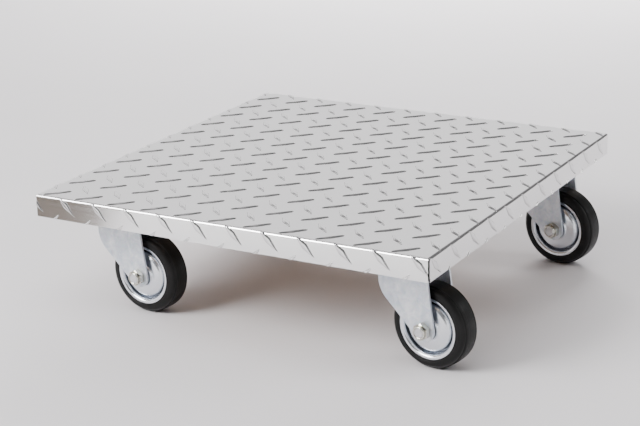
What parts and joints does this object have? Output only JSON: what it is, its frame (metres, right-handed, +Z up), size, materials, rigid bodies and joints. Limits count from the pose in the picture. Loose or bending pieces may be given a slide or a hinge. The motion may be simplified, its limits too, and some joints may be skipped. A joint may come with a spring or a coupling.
{
  "type": "flatbed platform truck",
  "caption": "Low flatbed platform truck: square tread-plate deck folded down at its edges over a plywood board, carried on swivel castors with solid rubber tyres.",
  "frame": {"origin": "on the floor, under the middle of the truck's box with the castors as they rest", "axes": "+X along the front edge, the way the castors trail; +Y from front to back; +Z up"},
  "size_m": [0.5528, 0.5444, 0.1577],
  "materials": {
    "tread_plate": "bright rolled tread plate",
    "plywood": "bare plywood",
    "zinc_pressing": "blue-white zinc plate on pressed steel, faintly mottled",
    "zinc_fastener": "bright zinc plate",
    "yellow_zinc": "bright zinc plate with a faint yellow passivation",
    "bearing_steel": "polished steel",
    "bright_rim": "bright zinc plate on pressed steel",
    "black_rubber": "satin black rubber",
    "black_plastic": "matt black",
    "cage_plastic": "natural nylon"
  },
  "bodies": {
    "platform": {"deck_skin": "tread_plate", "deck_core": "plywood", "plate_screws": "zinc_fastener", "plate_washers": "zinc_fastener", "mounting_plate_front_left": "zinc_pressing", "mounting_plate_front_right": "zinc_pressing", "mounting_plate_rear_right": "zinc_pressing", "mounting_plate_rear_left": "zinc_pressing", "king_pin_front_left": "zinc_pressing", "king_pin_front_right": "zinc_pressing", "king_pin_rear_right": "zinc_pressing", "king_pin_rear_left": "zinc_pressing"},
    "castor_front_left": {"dust_ring_front_left": "black_plastic", "fork_front_left": "zinc_pressing", "axle_bolt_front_left": "zinc_fastener", "axle_nut_front_left": "yellow_zinc", "axle_sleeve_front_left": "bearing_steel"},
    "balls_front_left": {"swivel_balls_front_left": "bearing_steel"},
    "bearing_front_left": {"roller_cage_front_left": "cage_plastic", "rollers_front_left": "bearing_steel"},
    "wheel_front_left": {"hub_tube_front_left": "bearing_steel", "rim_outer_front_left": "bright_rim", "rim_inner_front_left": "bright_rim", "tyre_front_left": "black_rubber"},
    "castor_front_right": {"dust_ring_front_right": "black_plastic", "fork_front_right": "zinc_pressing", "axle_bolt_front_right": "zinc_fastener", "axle_nut_front_right": "yellow_zinc", "axle_sleeve_front_right": "bearing_steel"},
    "balls_front_right": {"swivel_balls_front_right": "bearing_steel"},
    "bearing_front_right": {"roller_cage_front_right": "cage_plastic", "rollers_front_right": "bearing_steel"},
    "wheel_front_right": {"hub_tube_front_right": "bearing_steel", "rim_outer_front_right": "bright_rim", "rim_inner_front_right": "bright_rim", "tyre_front_right": "black_rubber"},
    "castor_rear_right": {"dust_ring_rear_right": "black_plastic", "fork_rear_right": "zinc_pressing", "axle_bolt_rear_right": "zinc_fastener", "axle_nut_rear_right": "yellow_zinc", "axle_sleeve_rear_right": "bearing_steel"},
    "balls_rear_right": {"swivel_balls_rear_right": "bearing_steel"},
    "bearing_rear_right": {"roller_cage_rear_right": "cage_plastic", "rollers_rear_right": "bearing_steel"},
    "wheel_rear_right": {"hub_tube_rear_right": "bearing_steel", "rim_outer_rear_right": "bright_rim", "rim_inner_rear_right": "bright_rim", "tyre_rear_right": "black_rubber"},
    "castor_rear_left": {"dust_ring_rear_left": "black_plastic", "fork_rear_left": "zinc_pressing", "axle_bolt_rear_left": "zinc_fastener", "axle_nut_rear_left": "yellow_zinc", "axle_sleeve_rear_left": "bearing_steel"},
    "balls_rear_left": {"swivel_balls_rear_left": "bearing_steel"},
    "bearing_rear_left": {"roller_cage_rear_left": "cage_plastic", "rollers_rear_left": "bearing_steel"},
    "wheel_rear_left": {"hub_tube_rear_left": "bearing_steel", "rim_outer_rear_left": "bright_rim", "rim_inner_rear_left": "bright_rim", "tyre_rear_left": "black_rubber"}
  },
  "joints": [
    {"name": "swivel_front_left", "type": "hinge", "parent": "platform", "child": "castor_front_left", "pos_m": [-0.20605, -0.1915, 0.119], "axis": [0, 0, 1], "continuous": true},
    {"name": "ball_race_front_left", "type": "hinge", "parent": "platform", "child": "balls_front_left", "pos_m": [-0.20605, -0.1915, 0.119], "axis": [0, 0, 1], "continuous": true},
    {"name": "wheel_spin_front_left", "type": "hinge", "parent": "castor_front_left", "child": "wheel_front_left", "pos_m": [-0.16521, -0.19507, 0.05], "axis": [0.0872, 0.9962, 0], "continuous": true},
    {"name": "roller_race_front_left", "type": "hinge", "parent": "castor_front_left", "child": "bearing_front_left", "pos_m": [-0.16521, -0.19507, 0.05], "axis": [0.0872, 0.9962, 0], "continuous": true},
    {"name": "swivel_front_right", "type": "hinge", "parent": "platform", "child": "castor_front_right", "pos_m": [0.18495, -0.1915, 0.119], "axis": [0, 0, 1], "continuous": true},
    {"name": "ball_race_front_right", "type": "hinge", "parent": "platform", "child": "balls_front_right", "pos_m": [0.18495, -0.1915, 0.119], "axis": [0, 0, 1], "continuous": true},
    {"name": "wheel_spin_front_right", "type": "hinge", "parent": "castor_front_right", "child": "wheel_front_right", "pos_m": [0.22555, -0.19721, 0.05], "axis": [0.1392, 0.9903, 0], "continuous": true},
    {"name": "roller_race_front_right", "type": "hinge", "parent": "castor_front_right", "child": "bearing_front_right", "pos_m": [0.22555, -0.19721, 0.05], "axis": [0.1392, 0.9903, 0], "continuous": true},
    {"name": "swivel_rear_right", "type": "hinge", "parent": "platform", "child": "castor_rear_right", "pos_m": [0.18495, 0.1915, 0.119], "axis": [0, 0, 1], "continuous": true},
    {"name": "ball_race_rear_right", "type": "hinge", "parent": "platform", "child": "balls_rear_right", "pos_m": [0.18495, 0.1915, 0.119], "axis": [0, 0, 1], "continuous": true},
    {"name": "wheel_spin_rear_right", "type": "hinge", "parent": "castor_rear_right", "child": "wheel_rear_right", "pos_m": [0.22555, 0.18579, 0.05], "axis": [0.1392, 0.9903, 0], "continuous": true},
    {"name": "roller_race_rear_right", "type": "hinge", "parent": "castor_rear_right", "child": "bearing_rear_right", "pos_m": [0.22555, 0.18579, 0.05], "axis": [0.1392, 0.9903, 0], "continuous": true},
    {"name": "swivel_rear_left", "type": "hinge", "parent": "platform", "child": "castor_rear_left", "pos_m": [-0.20605, 0.1915, 0.119], "axis": [0, 0, 1], "continuous": true},
    {"name": "ball_race_rear_left", "type": "hinge", "parent": "platform", "child": "balls_rear_left", "pos_m": [-0.20605, 0.1915, 0.119], "axis": [0, 0, 1], "continuous": true},
    {"name": "wheel_spin_rear_left", "type": "hinge", "parent": "castor_rear_left", "child": "wheel_rear_left", "pos_m": [-0.16528, 0.18721, 0.05], "axis": [0.1045, 0.9945, 0], "continuous": true},
    {"name": "roller_race_rear_left", "type": "hinge", "parent": "castor_rear_left", "child": "bearing_rear_left", "pos_m": [-0.16528, 0.18721, 0.05], "axis": [0.1045, 0.9945, 0], "continuous": true}
  ],
  "couplings": [
    {"joint": "ball_race_front_left", "follows": "swivel_front_left", "ratio": 0.5},
    {"joint": "roller_race_front_left", "follows": "wheel_spin_front_left", "ratio": 0.59},
    {"joint": "ball_race_front_right", "follows": "swivel_front_right", "ratio": 0.5},
    {"joint": "roller_race_front_right", "follows": "wheel_spin_front_right", "ratio": 0.59},
    {"joint": "ball_race_rear_right", "follows": "swivel_rear_right", "ratio": 0.5},
    {"joint": "roller_race_rear_right", "follows": "wheel_spin_rear_right", "ratio": 0.59},
    {"joint": "ball_race_rear_left", "follows": "swivel_rear_left", "ratio": 0.5},
    {"joint": "roller_race_rear_left", "follows": "wheel_spin_rear_left", "ratio": 0.59}
  ]
}
